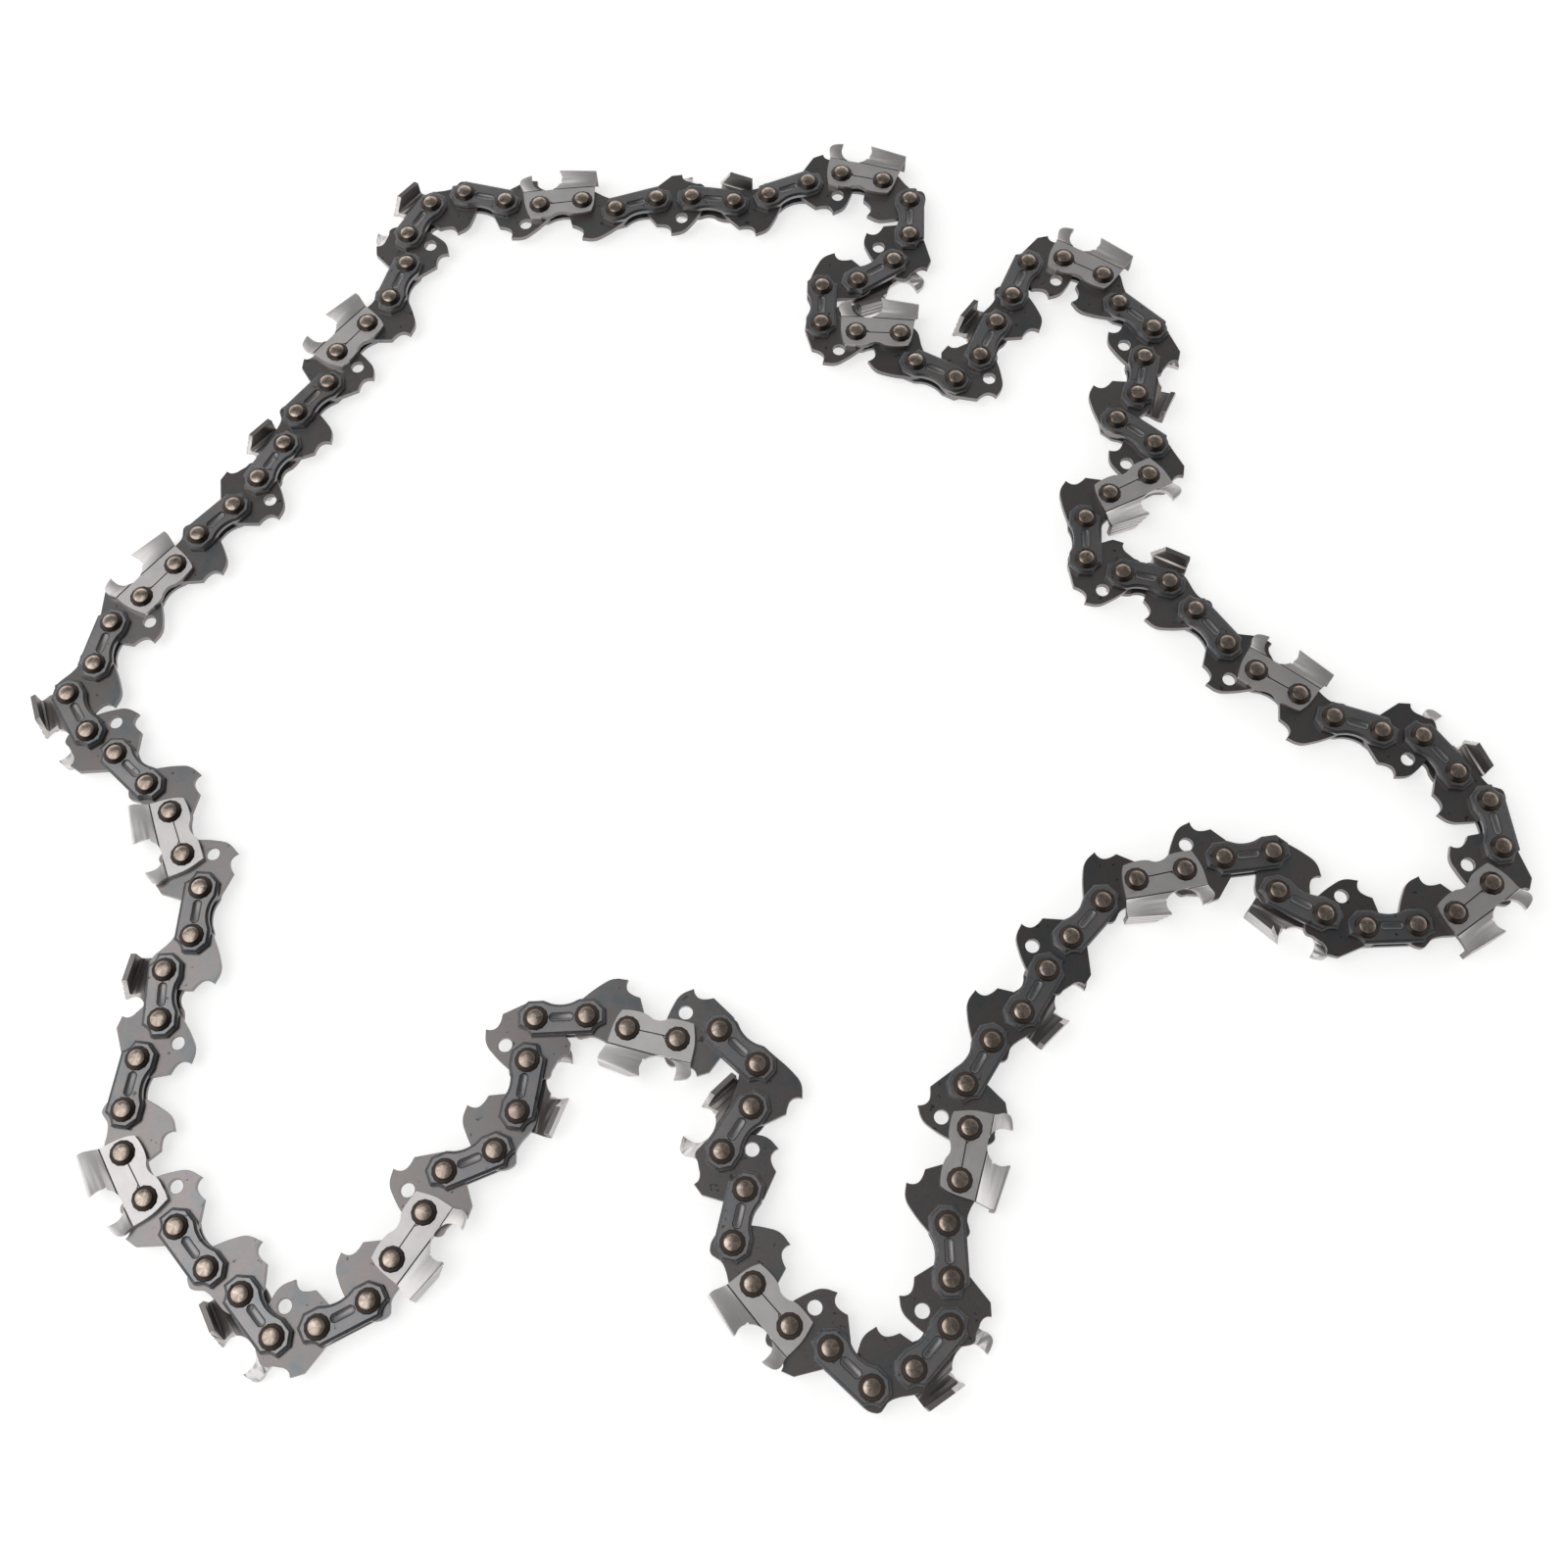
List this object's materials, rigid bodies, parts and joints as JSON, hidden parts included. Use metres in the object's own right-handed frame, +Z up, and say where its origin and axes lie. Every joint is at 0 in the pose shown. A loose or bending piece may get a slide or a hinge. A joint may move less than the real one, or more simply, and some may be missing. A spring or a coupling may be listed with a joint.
{
  "type": "chainsaw chain loop",
  "caption": "Closed loop of low-profile saw chain lying on its side: drive links with hooked tangs, riveted tie straps and hooded cutters that alternate from side to side.",
  "frame": {"origin": "under the middle of the loop's box, on the surface that the lower rivet heads rest on", "axes": "+Z up, across the chain's thickness and along every rivet; +X to the right and +Y away, as the loop lies in the picture"},
  "size_m": [0.3178, 0.2956, 0.0055],
  "materials": {
    "drive_link_steel": "blued, satin",
    "strap_steel": "blue-black, satin",
    "cutter_steel": "plated, satin",
    "rivet_steel": "heat tinted, polished"
  },
  "bodies": {
    "run_1": {"drive_links_01": "drive_link_steel", "tie_straps_01": "strap_steel", "cutters_01": "cutter_steel", "drive_links_02": "drive_link_steel", "tie_straps_02": "strap_steel", "cutters_02": "cutter_steel", "drive_links_03": "drive_link_steel", "tie_straps_03": "strap_steel", "cutters_03": "cutter_steel"},
    "run_2": {"drive_links_04": "drive_link_steel", "tie_straps_04": "strap_steel", "cutters_04": "cutter_steel", "drive_links_05": "drive_link_steel", "tie_straps_05": "strap_steel", "cutters_05": "cutter_steel", "drive_links_06": "drive_link_steel", "tie_straps_06": "strap_steel", "cutters_06": "cutter_steel"},
    "run_3": {"drive_links_07": "drive_link_steel", "tie_straps_07": "strap_steel", "cutters_07": "cutter_steel", "drive_links_08": "drive_link_steel", "tie_straps_08": "strap_steel", "cutters_08": "cutter_steel"},
    "run_4": {"drive_links_09": "drive_link_steel", "tie_straps_09": "strap_steel", "cutters_09": "cutter_steel", "drive_links_10": "drive_link_steel", "tie_straps_10": "strap_steel", "cutters_10": "cutter_steel", "drive_links_11": "drive_link_steel", "tie_straps_11": "strap_steel", "cutters_11": "cutter_steel"},
    "run_5": {"drive_links_12": "drive_link_steel", "tie_straps_12": "strap_steel", "cutters_12": "cutter_steel"},
    "run_6": {"drive_links_13": "drive_link_steel", "tie_straps_13": "strap_steel", "cutters_13": "cutter_steel", "drive_links_14": "drive_link_steel", "tie_straps_14": "strap_steel", "cutters_14": "cutter_steel"},
    "run_7": {"drive_links_15": "drive_link_steel", "tie_straps_15": "strap_steel", "cutters_15": "cutter_steel"},
    "run_8": {"drive_links_16": "drive_link_steel", "tie_straps_16": "strap_steel", "cutters_16": "cutter_steel"}
  },
  "joints": [
    {"name": "loop_flex", "type": "hinge", "parent": "run_1", "child": "run_2", "pos_m": [0.07615, 0.1116, 0.00274], "axis": [0, 0, 1], "range_deg": [-10, 10]},
    {"name": "rivet_hinge_3", "type": "hinge", "parent": "run_2", "child": "run_3", "pos_m": [0.14961, -0.04926, 0.00274], "axis": [0, 0, 1], "range_deg": [-10, 10]},
    {"name": "rivet_hinge_4", "type": "hinge", "parent": "run_3", "child": "run_4", "pos_m": [0.03821, -0.09556, 0.00274], "axis": [0, 0, 1], "range_deg": [-10, 10]},
    {"name": "rivet_hinge_5", "type": "hinge", "parent": "run_4", "child": "run_5", "pos_m": [-0.06868, -0.10795, 0.00274], "axis": [0, 0, 1], "range_deg": [-10, 10]},
    {"name": "rivet_hinge_8", "type": "hinge", "parent": "run_1", "child": "run_8", "pos_m": [-0.0501, 0.13321, 0.00274], "axis": [0, 0, 1], "range_deg": [-10, 10]},
    {"name": "rivet_hinge_7", "type": "hinge", "parent": "run_8", "child": "run_7", "pos_m": [-0.09727, 0.09225, 0.00274], "axis": [0, 0, 1], "range_deg": [-10, 10]},
    {"name": "rivet_hinge_6", "type": "hinge", "parent": "run_7", "child": "run_6", "pos_m": [-0.13711, 0.02904, 0.00274], "axis": [0, 0, 1], "range_deg": [-10, 10]}
  ],
  "couplings": [
    {"joint": "rivet_hinge_3", "follows": "loop_flex", "ratio": -1},
    {"joint": "rivet_hinge_4", "follows": "loop_flex", "ratio": 1},
    {"joint": "rivet_hinge_5", "follows": "loop_flex", "ratio": -1},
    {"joint": "rivet_hinge_8", "follows": "loop_flex", "ratio": 1},
    {"joint": "rivet_hinge_7", "follows": "loop_flex", "ratio": -1},
    {"joint": "rivet_hinge_6", "follows": "loop_flex", "ratio": 1}
  ]
}
